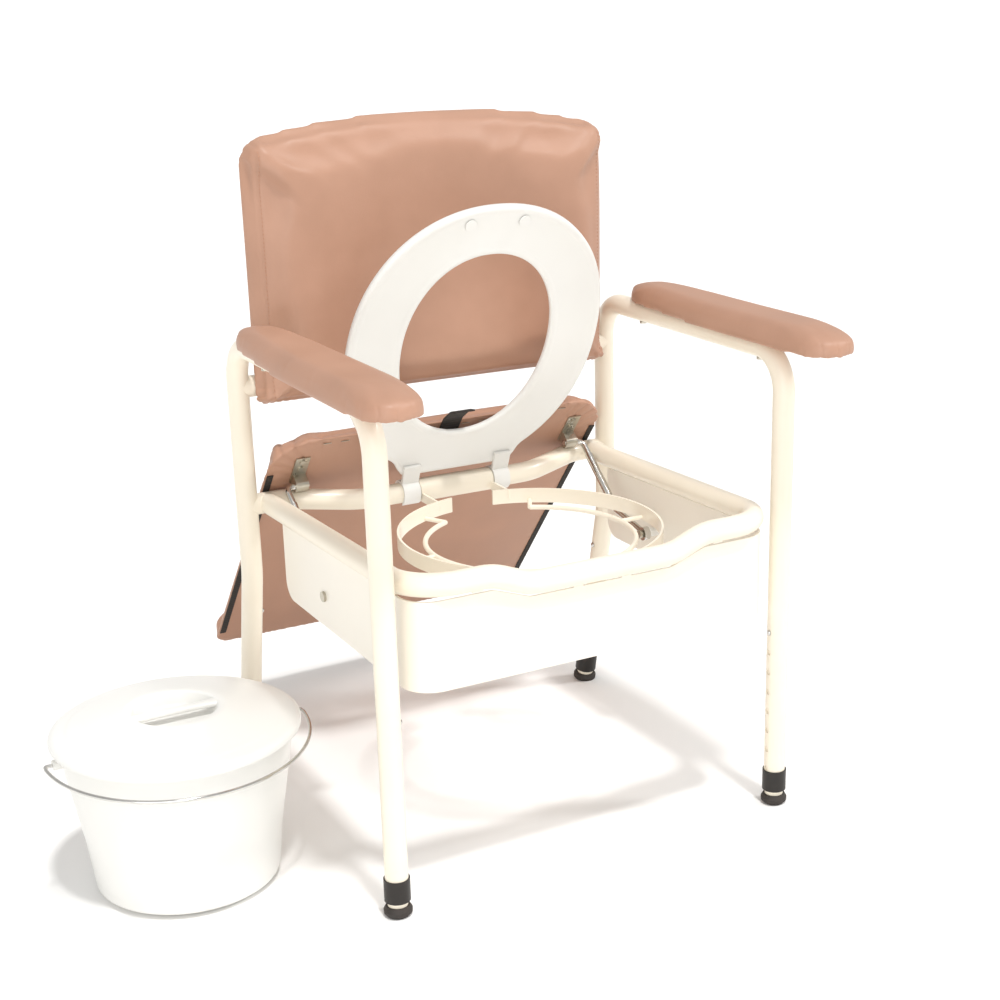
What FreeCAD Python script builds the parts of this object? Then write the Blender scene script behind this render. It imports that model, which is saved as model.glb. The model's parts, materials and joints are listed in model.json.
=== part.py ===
import FreeCAD, Part
import math
import os
import Sketcher
from FreeCAD import Placement, Rotation, Vector

# Commode chair with a padded seat that tips back behind the rear rail, a raised toilet seat, a pan carrier,
# height-adjustable legs and a lidded pan standing beside it. Millimetres, +Z up, the sitter faces -Y.
# The origin is on the floor, midway between the four upright tubes.

SIZES = {
    # bent steel side frames
    "tube_radius": 12.7, "tube_wall": 1.6, "leg_half_width": 249.0, "leg_half_depth": 196.5,
    "arm_height": 554.0, "arm_bend": 46.0, "outer_leg_bottom": 18.0,
    "rear_bend_height": 270.0, "rear_splay_angle": 13.0, "rear_splay_bend": 110.0,
    # telescopic legs
    "slide_clearance": 0.05, "inner_wall": 1.5, "inner_leg_bottom": 12.0, "inner_leg_top": 250.0,
    "hole_top": 222.0, "hole_pitch": 25.0, "hole_count": 8, "hole_radius": 3.5, "button_radius": 3.2,
    "button_proud": 2.4, "collar_height": 26.0, "collar_wall": 1.6,
    # seat rail, crossbars and back support
    "rail_rear_height": 356.0, "rail_front_height": 368.0, "rail_front_y": 212.0, "rail_corner": 52.0,
    "rail_dip": 17.0, "rail_dip_half": 88.0, "crossbar_forward": 31.5, "crossbar_drop": 6.0,
    "back_bar_height": 500.0, "back_tube_radius": 9.5, "back_hoop_half": 150.0, "back_hoop_top": 745.0,
    # apron
    "apron_wall": 2.5, "apron_bottom": 252.0, "apron_rear_y": 146.0, "apron_corner": 34.0,
    "apron_gap": 2.0, "apron_rear_radius": 22.0,
    # armrests and backrest
    "arm_board": 7.0, "arm_pad": 15.0, "arm_pad_half_width": 38.0, "arm_front_y": 288.0, "arm_rear_y": 130.0,
    "arm_outboard": 8.0, "screw_radius": 2.2,
    "back_width": 470.0, "back_bottom": 478.0, "back_side_top": 782.0, "back_crown_top": 804.0,
    "back_board": 9.0, "back_pad": 21.0,
    # padded seat in its stored place, measured on the plane of its board
    "seat_half_width": 231.0, "seat_length": 452.0, "seat_board": 8.5, "seat_pad": 24.0,
    "seat_angle": 50.0, "seat_edge_y": 146.0, "seat_edge_height": 437.6, "seat_corner": 58.0,
    "bracket_back": 70.0, "bracket_drop": 14.0, "stay_x": 204.0, "stay_radius": 4.0,
    "stay_tube_radius": 5.0, "pivot_y": 25.3, "pivot_height": 289.1, "stay_crank": 22.0,
    # toilet seat
    "ring_lean": 22.7, "ring_length": 390.0, "ring_half_width": 165.0, "ring_thickness": 10.0,
    "ring_offset": 0.5, "ring_band": 68.0, "ring_shift": 8.0, "clip_x": 62.0, "clip_width": 22.0, "clip_wall": 3.0,
    "clip_clearance": 0.3,
    # pan carrier
    "carrier_radius": 154.0, "carrier_y": -38.0, "carrier_top": 350.0, "carrier_band": 18.0,
    "carrier_thick": 2.5, "wire_ring_radius": 122.0, "wire_radius": 3.0,
    # pan, lid and bail
    "pan_x": -412.0, "pan_y": 5.0, "pan_top_radius": 124.0, "pan_bottom_radius": 100.0,
    "pan_height": 183.0, "pan_wall": 2.5, "pan_rim_radius": 131.0, "lid_radius": 134.0,
    "lid_lift": 0.4, "bail_radius": 143.0, "bail_wire": 2.0, "bail_height": 173.0,
}

doc = FreeCAD.newDocument("commode_chair")
sheet = doc.addObject("Spreadsheet::Sheet", "sizes")
for row, (name, value) in enumerate(SIZES.items(), start=1):
    sheet.set(f"A{row}", name)
    sheet.set(f"B{row}", str(value))
    sheet.setAlias(f"B{row}", name)
doc.recompute()

NODES = []


def size(name):
    """A driving dimension read back from the sheet."""
    return float(sheet.get(name))


def keep(obj, label=None):
    """Marks a document object as a finished sub-part."""
    if label:
        obj.Label = label
    NODES.append(obj)
    return obj


def feature(label, shape, placement=None):
    """A sub-part whose bends or outline fit no sketch or primitive."""
    obj = doc.addObject("Part::Feature", label)
    obj.Shape = shape
    if placement:
        obj.Placement = placement
    return keep(obj, label)


def bound(kind, name, **expressions):
    """A Part primitive with its sizes tied to the sheet."""
    obj = doc.addObject(kind, name)
    for prop, expression in expressions.items():
        obj.setExpression(prop, expression)
    return obj


def cut(label, base, tool):
    obj = doc.addObject("Part::Cut", label)
    obj.Base = base
    obj.Tool = tool
    return obj


def bent_path(points, bends):
    """Straight runs joined by tangent arcs; bends holds one radius for each inner point."""
    edges = []
    here = points[0]
    for i in range(1, len(points) - 1):
        corner = points[i]
        into = (corner - points[i - 1]).normalize()
        away = (points[i + 1] - corner).normalize()
        turn = into.getAngle(away)
        setback = bends[i - 1] * math.tan(turn / 2)
        start = corner - into * setback
        end = corner + away * setback
        middle = (away - into).normalize()
        rise = bends[i - 1] / math.cos(turn / 2) - bends[i - 1]
        edges.append(Part.LineSegment(here, start).toShape())
        edges.append(Part.Arc(start, corner + middle * rise, end).toShape())
        here = end
    edges.append(Part.LineSegment(here, points[-1]).toShape())
    return Part.Wire(edges)


def rod(path, radius):
    """A round bar swept along a wire."""
    edge = path.OrderedEdges[0]
    start = edge.valueAt(edge.FirstParameter)
    along = edge.tangentAt(edge.FirstParameter)
    section = Part.Wire([Part.makeCircle(radius, start, along)])
    return path.makePipeShell([section], True, True)


def tube(path, radius, wall):
    return rod(path, radius).cut(rod(path, radius - wall))


def straight_rod(start, end, radius):
    return Part.makeCylinder(radius, (end - start).Length, start, end - start)


def outline_face(points):
    return Part.Face(Part.makePolygon([Vector(*p) for p in points] + [Vector(*points[0])]))


def oval(half_x, y_front, y_rear, fullness, count=28):
    """A closed smooth outline between two ends, as a superellipse."""
    centre = (y_front + y_rear) / 2
    half_y = (y_rear - y_front) / 2
    points = []
    for i in range(count):
        angle = 2 * math.pi * i / count
        c, s = math.cos(angle), math.sin(angle)
        x = half_x * math.copysign(abs(c) ** (2 / fullness), c)
        y = centre + half_y * math.copysign(abs(s) ** (2 / fullness), s)
        points.append(Vector(x, y, 0))
    curve = Part.BSplineCurve()
    curve.interpolate(points, PeriodicFlag=True)
    return Part.Wire([curve.toShape()])


def sketch_on(body, plane_role, name):
    plane = next(f for f in body.Origin.OriginFeatures if f.Role == plane_role)
    sketch = body.newObject("Sketcher::SketchObject", name)
    sketch.AttachmentSupport = (plane, [""])
    sketch.MapMode = "FlatFace"
    return sketch


def turned_body(label, profile, role="XZ_Plane"):
    """A PartDesign body turned about Z; profile is the closed half section as (radius, height)."""
    body = doc.addObject("PartDesign::Body", label)
    sketch = sketch_on(body, role, label + "_section")
    count = len(profile)
    for i, (radius, height) in enumerate(profile):
        after = profile[(i + 1) % count]
        sketch.addGeometry(Part.LineSegment(Vector(radius, height, 0), Vector(after[0], after[1], 0)), False)
    for i in range(count):
        sketch.addConstraint(Sketcher.Constraint("Coincident", i, 2, (i + 1) % count, 1))
    turned = body.newObject("PartDesign::Revolution", label + "_turned")
    turned.Profile = sketch
    turned.ReferenceAxis = (sketch, ["V_Axis"])
    turned.Angle = 360.0
    body.Tip = turned
    return body


def pushed_body(label, outline, length):
    """A PartDesign body made by pushing a closed XY outline up; length is an expression."""
    body = doc.addObject("PartDesign::Body", label)
    sketch = sketch_on(body, "XY_Plane", label + "_outline")
    for curve in outline:
        sketch.addGeometry(curve, False)
    for i in range(len(outline)):
        sketch.addConstraint(Sketcher.Constraint("Coincident", i, 2, (i + 1) % len(outline), 1))
    pad = body.newObject("PartDesign::Pad", label + "_pad")
    pad.Profile = sketch
    pad.setExpression("Length", length)
    body.Tip = pad
    return body


def rounded_outline(x0, y0, x1, y1, radii):
    """Sketch curves of a rectangle with corner radii (x0y0, x1y0, x1y1, x0y1), going anticlockwise."""
    corners = [Vector(x0, y0, 0), Vector(x1, y0, 0), Vector(x1, y1, 0), Vector(x0, y1, 0)]
    starts, ends, middles = [], [], []
    for i, corner in enumerate(corners):
        into = (corner - corners[i - 1]).normalize()
        away = (corners[(i + 1) % 4] - corner).normalize()
        starts.append(corner - into * radii[i])
        ends.append(corner + away * radii[i])
        middles.append(corner + (away - into).normalize() * radii[i] * (math.sqrt(2) - 1))
    curves = []
    for i in range(4):
        curves.append(Part.Arc(starts[i], middles[i], ends[i]))
        curves.append(Part.LineSegment(ends[i], starts[(i + 1) % 4]))
    return curves


# ---------------------------------------------------------------------------------------------------------
# Derived places

R = size("tube_radius")
LEG_X = size("leg_half_width")
LEG_Y = size("leg_half_depth")
SPLAY = size("rear_splay_angle")
REAR_FOOT_Y = LEG_Y + size("rear_bend_height") * math.tan(math.radians(SPLAY))
RAIL_X = LEG_X - 2 * R
RAIL_SLOPE = (size("rail_front_height") - size("rail_rear_height")) / (LEG_Y + size("rail_front_y"))
HINGE = Vector(0, LEG_Y - size("crossbar_forward"), size("rail_rear_height") - size("crossbar_drop"))
CORNERS = {"front_left": (-1, -1), "front_right": (1, -1), "rear_left": (-1, 1), "rear_right": (1, 1)}


def rail_height(y):
    """Height of the seat rail's centre line at a depth y."""
    return size("rail_rear_height") + (LEG_Y - y) * RAIL_SLOPE


def leg_place(side, end):
    """Leg axis standing on the floor: local Z runs up the leg, local X points to the chair's middle."""
    y = REAR_FOOT_Y if end > 0 else -LEG_Y
    lean = Rotation(Vector(1, 0, 0), SPLAY if end > 0 else 0)
    inward = Rotation(Vector(0, 0, 1), 180 if side > 0 else 0)
    lean_local = Rotation(Vector(1, 0, 0), -SPLAY if end > 0 and side > 0 else (SPLAY if end > 0 else 0))
    turn = inward.multiply(lean_local) if side > 0 else lean
    return Placement(Vector(side * LEG_X, y, 0), turn)


# ---------------------------------------------------------------------------------------------------------
# Side frames and legs

def side_frame_path(side):
    low = size("outer_leg_bottom")
    splay = math.radians(SPLAY)
    foot = Vector(side * LEG_X, REAR_FOOT_Y - low * math.sin(splay), low * math.cos(splay))
    points = [
        Vector(side * LEG_X, -LEG_Y, low),
        Vector(side * LEG_X, -LEG_Y, size("arm_height")),
        Vector(side * LEG_X, LEG_Y, size("arm_height")),
        Vector(side * LEG_X, LEG_Y, size("rear_bend_height")),
        foot,
    ]
    return bent_path(points, [size("arm_bend"), size("arm_bend"), size("rear_splay_bend")])


def leg_holes(side, end, radius, heights):
    """Round drills through the inward wall of a leg, at heights measured along it."""
    place = leg_place(side, end)
    drills = [Part.makeCylinder(radius, R + 4, Vector(0, 0, z), Vector(1, 0, 0)) for z in heights]
    drill = Part.makeCompound(drills)
    drill.Placement = place
    return drill


def side_frame(name, side):
    frame = tube(side_frame_path(side), R, size("tube_wall"))
    heights = [size("hole_top") - i * size("hole_pitch") for i in range(int(size("hole_count")))]
    for end in (-1, 1):
        frame = frame.cut(leg_holes(side, end, size("hole_radius"), heights))
    feature(f"side_frame_{name}", frame)


def inner_leg_radius():
    return R - size("tube_wall") - size("slide_clearance")


def inner_leg(name, side, end):
    """Telescopic leg tube, drilled once for the snap button."""
    outer = bound("Part::Cylinder", f"inner_{name}_outer",
                  Radius="sizes.tube_radius - sizes.tube_wall - sizes.slide_clearance",
                  Height="sizes.inner_leg_top - sizes.inner_leg_bottom")
    bore = bound("Part::Cylinder", f"inner_{name}_bore",
                 Radius="sizes.tube_radius - sizes.tube_wall - sizes.slide_clearance - sizes.inner_wall",
                 Height="sizes.inner_leg_top - sizes.inner_leg_bottom")
    drill = bound("Part::Cylinder", f"inner_{name}_drill", Radius="sizes.hole_radius",
                  Height="sizes.tube_radius + 4")
    drill.Placement = Placement(Vector(0, 0, size("hole_top") - size("inner_leg_bottom")),
                                Rotation(Vector(0, 1, 0), 90))
    leg = cut(f"inner_leg_{name}", cut(f"inner_{name}_tube", outer, bore), drill)
    place = leg_place(side, end)
    leg.Placement = place.multiply(Placement(Vector(0, 0, size("inner_leg_bottom")), Rotation()))
    keep(leg)


def foot_tip(name, side, end):
    """Rubber ferrule: a plug up the leg, a broad mushroom base trimmed level with the floor."""
    bottom = size("inner_leg_bottom")
    plug = inner_leg_radius() - size("inner_wall")
    below = 6.0
    profile = [(0, -below), (12.5, -below), (12.5, 0.4), (15.5, 3.5), (15.6, 7.5), (13.0, bottom),
               (plug, bottom), (plug, bottom + 18), (0, bottom + 18)]
    body = turned_body(f"foot_blank_{name}", profile)
    body.Placement = leg_place(side, end)
    room = doc.addObject("Part::Box", f"foot_room_{name}")
    room.Length = room.Width = room.Height = 120
    room.Placement = Placement(Vector(side * LEG_X - 60, leg_place(side, end).Base.y - 60, 0), Rotation())
    level = doc.addObject("Part::Common", f"foot_tip_{name}")
    level.Base = body
    level.Tool = room
    keep(level)


def leg_collar(name, side, end):
    """Plastic sleeve over the lower end of the outer leg."""
    outer = bound("Part::Cylinder", f"collar_{name}_outer", Radius="sizes.tube_radius + sizes.collar_wall",
                  Height="sizes.collar_height")
    bore = bound("Part::Cylinder", f"collar_{name}_bore", Radius="sizes.tube_radius",
                 Height="sizes.collar_height")
    collar = cut(f"leg_collar_{name}", outer, bore)
    place = leg_place(side, end)
    collar.Placement = place.multiply(Placement(Vector(0, 0, size("outer_leg_bottom")), Rotation()))
    keep(collar)


def snap_button(name, side, end):
    """Domed steel button that locks the leg in one hole of the outer tube."""
    base = 6.6
    tip = R + size("button_proud")
    button = size("button_radius")
    profile = [(0, base), (button, base), (button, tip - 1.6), (button * 0.72, tip - 0.5), (0, tip)]
    body = turned_body(f"snap_button_{name}", profile)
    local = Placement(Vector(0, 0, size("hole_top")), Rotation(Vector(0, 1, 0), 90))
    body.Placement = leg_place(side, end).multiply(local)
    keep(body)


def button_spring(name, side, end):
    """Folded leaf spring inside the leg that carries the button."""
    thick = 0.6
    wide = 6.0
    top = size("hole_top")
    far = -(inner_leg_radius() - size("inner_wall") - 0.6)
    near = 6.6 - thick
    points = [Vector(near, 0, top + 6), Vector(near, 0, top - 40), Vector(far, 0, top - 40),
              Vector(far, 0, top - 8)]
    path = bent_path(points, [5.0, 5.0])
    corner = Vector(near, -wide / 2, top + 6)
    section = Part.makePolygon([corner, corner + Vector(thick, 0, 0), corner + Vector(thick, wide, 0),
                                corner + Vector(0, wide, 0), corner])
    feature(f"button_spring_{name}", path.makePipeShell([section], True, False), leg_place(side, end))


for frame_name, frame_side in (("left", -1), ("right", 1)):
    side_frame(frame_name, frame_side)
for corner_name, (corner_side, corner_end) in CORNERS.items():
    inner_leg(corner_name, corner_side, corner_end)
    foot_tip(corner_name, corner_side, corner_end)
    leg_collar(corner_name, corner_side, corner_end)
    snap_button(corner_name, corner_side, corner_end)
    button_spring(corner_name, corner_side, corner_end)


# ---------------------------------------------------------------------------------------------------------
# Rails, crossbars and back hoop

def upright_solids():
    """Solid side frames, used to cope the tubes that are welded to them."""
    return Part.makeCompound([rod(side_frame_path(side), R) for side in (-1, 1)])


def crossbar_path():
    z = size("rail_rear_height")
    return bent_path([
        Vector(-LEG_X, LEG_Y, z), Vector(-LEG_X + 52, LEG_Y, z), Vector(-118, HINGE.y, HINGE.z),
        Vector(118, HINGE.y, HINGE.z), Vector(LEG_X - 52, LEG_Y, z), Vector(LEG_X, LEG_Y, z),
    ], [60, 90, 90, 60])


def rail_path():
    front = -size("rail_front_y")
    high = size("rail_front_height")
    low = high - size("rail_dip")
    half = size("rail_dip_half")
    ramp = 44
    points = [
        Vector(-RAIL_X, LEG_Y, size("rail_rear_height")), Vector(-RAIL_X, front, high),
        Vector(-half - ramp, front, high), Vector(-half, front, low), Vector(half, front, low),
        Vector(half + ramp, front, high), Vector(RAIL_X, front, high),
        Vector(RAIL_X, LEG_Y, size("rail_rear_height")),
    ]
    corner = size("rail_corner")
    return bent_path(points, [corner, 70, 70, 70, 70, corner])


def rear_crossbar():
    bar = tube(crossbar_path(), R, size("tube_wall")).cut(upright_solids())
    feature("rear_crossbar", bar)


def seat_rail():
    rail = tube(rail_path(), R, size("tube_wall")).cut(rod(crossbar_path(), R))
    feature("seat_rail", rail)


def back_bar_path():
    z = size("back_bar_height")
    return bent_path([Vector(-LEG_X, LEG_Y, z), Vector(LEG_X, LEG_Y, z)], [])


def back_support():
    """Crossbar between the uprights and the hoop that rises behind the backrest."""
    feature("back_crossbar", tube(back_bar_path(), R, size("tube_wall")).cut(upright_solids()))
    half = size("back_hoop_half")
    radius = size("back_tube_radius")
    y = LEG_Y - R + radius
    z = size("back_bar_height")
    path = bent_path([Vector(-half, y, z), Vector(-half, y, size("back_hoop_top")),
                      Vector(half, y, size("back_hoop_top")), Vector(half, y, z)], [60, 60])
    feature("back_hoop", tube(path, radius, size("tube_wall")).cut(rod(back_bar_path(), R)))


rear_crossbar()
seat_rail()
back_support()


# ---------------------------------------------------------------------------------------------------------
# Apron

APRON_X = RAIL_X
APRON_Y = size("rail_front_y")


def apron_top(y):
    return rail_height(y) - R - size("apron_gap")


def apron_wall_outline(inset):
    """The U-shaped plan of the apron, open to the rear."""
    x = APRON_X + size("apron_wall") / 2 - inset
    front = -APRON_Y - size("apron_wall") / 2 + inset
    rear = size("apron_rear_y")
    corner = size("apron_corner") - inset
    return bent_path([Vector(-x, rear, 0), Vector(-x, front, 0), Vector(x, front, 0), Vector(x, rear, 0)],
                     [corner, corner])


def apron():
    """One sheet bent round the front corners, its top following the rail and its ends rounded below."""
    outer = apron_wall_outline(0)
    inner = apron_wall_outline(size("apron_wall"))
    ends = []
    for pick in (0, -1):
        a = outer.OrderedVertexes[pick].Point
        b = inner.OrderedVertexes[pick].Point
        ends.append(Part.LineSegment(a, b).toShape())
    plan = Part.Face(Part.Wire(Part.sortEdges(outer.Edges + inner.Edges + ends)[0]))
    bottom = size("apron_bottom")
    wall = plan.extrude(Vector(0, 0, 200))
    wall.translate(Vector(0, 0, bottom))
    split = -APRON_Y + size("rail_corner")
    rear = size("apron_rear_y")
    round_end = size("apron_rear_radius")
    side = bent_path([Vector(-300, split, bottom), Vector(-300, rear, bottom),
                      Vector(-300, rear, apron_top(rear))], [round_end])
    side_edges = side.Edges + [
        Part.LineSegment(Vector(-300, rear, apron_top(rear)), Vector(-300, split, apron_top(split))).toShape(),
        Part.LineSegment(Vector(-300, split, apron_top(split)), Vector(-300, split, bottom)).toShape()]
    side_tool = Part.Face(Part.Wire(Part.sortEdges(side_edges)[0])).extrude(Vector(600, 0, 0))
    half = size("rail_dip_half")
    high = apron_top(split)
    low = size("rail_front_height") - size("rail_dip") - R - size("apron_gap")
    back = split
    front_face = outline_face([(-300, back, bottom), (300, back, bottom), (300, back, high),
                               (half + 44, back, high), (half, back, low), (-half, back, low),
                               (-half - 44, back, high), (-300, back, high)])
    front_tool = front_face.extrude(Vector(0, -APRON_Y, 0))
    sheet_metal = wall.common(side_tool).fuse(wall.common(front_tool)).removeSplitter()
    for side_sign in (-1, 1):
        bore = Part.makeCylinder(3.2, 12, Vector(side_sign * (APRON_X - 6), size("pivot_y"),
                                                 size("pivot_height")), Vector(side_sign, 0, 0))
        sheet_metal = sheet_metal.cut(bore)
    feature("apron", sheet_metal)


def apron_spacers():
    """Small tabs that hold the apron under the rail."""
    rail = rod(rail_path(), R)
    tabs = []
    wall = size("apron_wall")
    for x in (-150, -30, 30, 150):
        y = -APRON_Y
        top = size("rail_front_height") if abs(x) > 100 else size("rail_front_height") - size("rail_dip")
        low = top - R - size("apron_gap")
        tabs.append(Part.makeBox(12, wall, R, Vector(x - 6, y - wall / 2, low)).cut(rail))
    for side in (-1, 1):
        for y in (-110, 20, 120):
            tabs.append(Part.makeBox(wall, 12, R + 3, Vector(side * APRON_X - wall / 2, y - 6,
                                                             apron_top(y))).cut(rail))
    solids = []
    for tab in tabs:
        solids.append(min(tab.Solids, key=lambda s: s.CenterOfMass.z))
    feature("apron_spacers", Part.makeCompound(solids))


apron()
apron_spacers()


# ---------------------------------------------------------------------------------------------------------
# Armrests

def arm_outline_curves():
    """Boat-shaped plan: broad rounded front, narrower rounded rear, in sketch coordinates."""
    half = size("arm_pad_half_width")
    front = -size("arm_front_y")
    rear = size("arm_rear_y")
    points = [Vector(0, front, 0), Vector(half * 0.72, front + 14, 0), Vector(half * 0.95, front + 60, 0),
              Vector(half, front + 160, 0), Vector(half * 0.94, front + 260, 0),
              Vector(half * 0.74, rear - 62, 0), Vector(half * 0.45, rear - 16, 0), Vector(0, rear, 0)]
    mirrored = [Vector(-p.x, p.y, 0) for p in reversed(points[1:-1])]
    curve = Part.BSplineCurve()
    curve.interpolate(points + mirrored, PeriodicFlag=True)
    return Part.Wire([curve.toShape()])


ARM_SCREWS_Y = (-150.0, 100.0)


def armrest(name, side):
    """Plywood board and its upholstered pad, screwed down on the arm tube a little outboard of it."""
    low = size("arm_height") + R
    outboard = side * size("arm_outboard")
    board = Part.Face(arm_outline_curves()).extrude(Vector(0, 0, size("arm_board")))
    for y in ARM_SCREWS_Y:
        board = board.cut(Part.makeCylinder(size("screw_radius"), size("arm_board"), Vector(-outboard, y, 0)))
    place = Placement(Vector(side * LEG_X + outboard, 0, low), Rotation())
    feature(f"armrest_board_{name}", board, place)
    pad = Part.Face(arm_outline_curves()).extrude(Vector(0, 0, size("arm_pad")))
    top_edges = [e for e in pad.Edges if e.BoundBox.ZMin > size("arm_pad") - 0.1]
    pad = pad.makeFillet(size("arm_pad") * 0.4, top_edges)
    feature(f"armrest_pad_{name}", pad, place.multiply(Placement(Vector(0, 0, size("arm_board")), Rotation())))


def armrest_screws():
    """Pan-head screws driven up through the arm tubes into the boards."""
    screws = []
    top = size("arm_height") + R + size("arm_board") - 1
    head_at = size("arm_height") - R
    for side in (-1, 1):
        for y in ARM_SCREWS_Y:
            base = Vector(side * LEG_X, y, head_at - 2.5)
            shank = Part.makeCylinder(size("screw_radius"), top - head_at + 2.5, base)
            screws.append(Part.makeCylinder(4.2, 2.5, base).fuse(shank).removeSplitter())
    feature("armrest_screws", Part.makeCompound(screws))


def node_called(label):
    return next(node for node in NODES if node.Label == label)


def drill_arm_tubes():
    """Screw holes through both arm tubes."""
    for name, side in (("left", -1), ("right", 1)):
        frame = node_called(f"side_frame_{name}")
        drilled = frame.Shape
        for y in ARM_SCREWS_Y:
            start = Vector(side * LEG_X, y, size("arm_height") - 1.5 * R)
            drilled = drilled.cut(Part.makeCylinder(size("screw_radius"), 3 * R, start))
        frame.Shape = drilled


for arm_name, arm_side in (("left", -1), ("right", 1)):
    armrest(arm_name, arm_side)
armrest_screws()
drill_arm_tubes()


# ---------------------------------------------------------------------------------------------------------
# Backrest

def back_outline(inset):
    """Front view of the backrest: rounded shoulders and a bowed top."""
    half = size("back_width") / 2 - inset
    low = size("back_bottom") + inset
    shoulder = size("back_side_top") - inset
    peak = 2 * (size("back_crown_top") - inset) - shoulder
    crown_bend = 0.8 * half / ((peak - shoulder) / half)
    points = [(0, low), (half, low), (half, shoulder), (0, peak), (-half, shoulder), (-half, low), (0, low)]
    path = bent_path([Vector(x, 0, z) for x, z in points], [12, 28, crown_bend, 28, 12])
    return Part.Face(path)


BACK_SCREWS = [(x, z) for x in (-150.0, 150.0) for z in (560.0, 690.0)]


def backrest():
    """Board bolted to the hoop, with the padded cover in front of it."""
    face_y = LEG_Y - R
    board = back_outline(4).extrude(Vector(0, -size("back_board"), 0))
    for x, z in BACK_SCREWS:
        board = board.cut(Part.makeCylinder(2.5, size("back_board"), Vector(x, 0, z), Vector(0, -1, 0)))
    feature("backrest_board", board, Placement(Vector(0, face_y, 0), Rotation()))
    pad = back_outline(0).extrude(Vector(0, -size("back_pad"), 0))
    front = [e for e in pad.Edges if e.BoundBox.YMax < -size("back_pad") + 0.1]
    pad = pad.makeFillet(8, front)
    feature("backrest_pad", pad, Placement(Vector(0, face_y - size("back_board"), 0), Rotation()))
    screws = []
    hoop_back = 2 * size("back_tube_radius")
    for x, z in BACK_SCREWS:
        head = Part.makeCylinder(4.5, 2.5, Vector(x, face_y + hoop_back, z), Vector(0, 1, 0))
        shank = Part.makeCylinder(2.5, hoop_back + size("back_board"),
                                  Vector(x, face_y - size("back_board"), z), Vector(0, 1, 0))
        screws.append(head.fuse(shank).removeSplitter())
    feature("backrest_screws", Part.makeCompound(screws))
    hoop = next(n for n in NODES if n.Label == "back_hoop")
    shape = hoop.Shape
    for x, z in BACK_SCREWS:
        shape = shape.cut(Part.makeCylinder(2.5, 40, Vector(x, face_y - 5, z), Vector(0, 1, 0)))
    hoop.Shape = shape


backrest()


# ---------------------------------------------------------------------------------------------------------
# Padded seat, its stays and its pivots

def seat_place():
    """Stored place of the seat: local X across, local Y from its front edge back, local Z up."""
    edge = Vector(0, size("seat_edge_y"), size("seat_edge_height"))
    return Placement(edge, Rotation(Vector(1, 0, 0), -size("seat_angle")))


def seat_curves():
    half = size("seat_half_width")
    corner = size("seat_corner")
    return rounded_outline(-half, 0, half, size("seat_length"), [corner, corner, 18, 18])


BRACKET_X = 186.0


def padded_seat():
    board = pushed_body("seat_board_block", seat_curves(), "sizes.seat_board")
    doc.recompute()
    block = board.Tip
    under = [f"Face{i}" for i, f in enumerate(block.Shape.Faces, start=1) if f.BoundBox.ZMax < 0.1]
    rounded = board.newObject("PartDesign::Fillet", "seat_board_round")
    rounded.Base = (block, under)
    rounded.setExpression("Radius", "sizes.seat_board * 0.7")
    board.Tip = rounded
    board.Label = "seat_board"
    board.Placement = seat_place()
    keep(board)
    pad = pushed_body("seat_cushion_block", seat_curves(), "sizes.seat_pad")
    doc.recompute()
    block = pad.Tip
    top = [f"Face{i}" for i, f in enumerate(block.Shape.Faces, start=1)
           if f.BoundBox.ZMin > size("seat_pad") - 0.1]
    rounded = pad.newObject("PartDesign::Fillet", "seat_cushion_round")
    rounded.Base = (block, top)
    rounded.setExpression("Radius", "sizes.seat_pad * 0.55")
    pad.Tip = rounded
    pad.Label = "seat_cushion"
    pad.Placement = seat_place().multiply(Placement(Vector(0, 0, size("seat_board")), Rotation()))
    keep(pad)


def seat_edge_strips():
    """Black facing strips along both long sides of the board's underside."""
    half = size("seat_half_width")
    strips = [Part.makeBox(8, size("seat_length") - 90, 0.8, Vector(side * (half - 9) - 4, 60, -0.8))
              for side in (-1, 1)]
    feature("seat_edge_strips", Part.makeCompound(strips), seat_place())


def stay_brackets():
    """Plated saddle brackets that hold the stays' cross pins under the board."""
    y = size("bracket_back")
    drop = size("bracket_drop")
    pin = size("stay_radius")
    shapes = []
    for side in (-1, 1):
        plate = Part.makeBox(18, 48, 1.6, Vector(side * BRACKET_X - 9, y - 38, -1.6))
        block = Part.makeBox(16, 16, drop + pin + 1.5, Vector(side * BRACKET_X - 8, y - 8,
                                                               -(drop + pin + 1.5)))
        lower = [e for e in block.Edges if e.BoundBox.ZMax < -(drop + pin + 1.4) and e.BoundBox.YLength < 1]
        block = block.makeFillet(5, lower)
        bore = Part.makeCylinder(pin + 0.05, 40, Vector(side * BRACKET_X - 20, y, -drop), Vector(1, 0, 0))
        shapes.append(plate.fuse(block).removeSplitter().cut(bore))
    feature("stay_brackets", Part.makeCompound(shapes), seat_place())
    screws = []
    for side in (-1, 1):
        for back in (-31, -18):
            head = Part.makeCylinder(3.6, 1.8, Vector(side * BRACKET_X, y + back, -3.4))
            screws.append(head)
    feature("bracket_screws", Part.makeCompound(screws), seat_place())


def pull_strap():
    """Webbing loop stapled under the front edge, standing out in front of it."""
    thick = 2.0
    wide = 26.0
    points = [Vector(0, 52, -1.2), Vector(0, -6, -1.2), Vector(0, -30, -9), Vector(0, -40, -18)]
    path = bent_path(points, [14, 14])
    corner = Vector(-wide / 2, 52, -1.2 - thick / 2)
    section = Part.makePolygon([corner, corner + Vector(wide, 0, 0), corner + Vector(wide, 0, thick),
                                corner + Vector(0, 0, thick), corner])
    feature("pull_strap", path.makePipeShell([section], True, False), seat_place())


def seat_point(x, back, drop):
    return seat_place().multVec(Vector(x, back, -drop))


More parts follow.
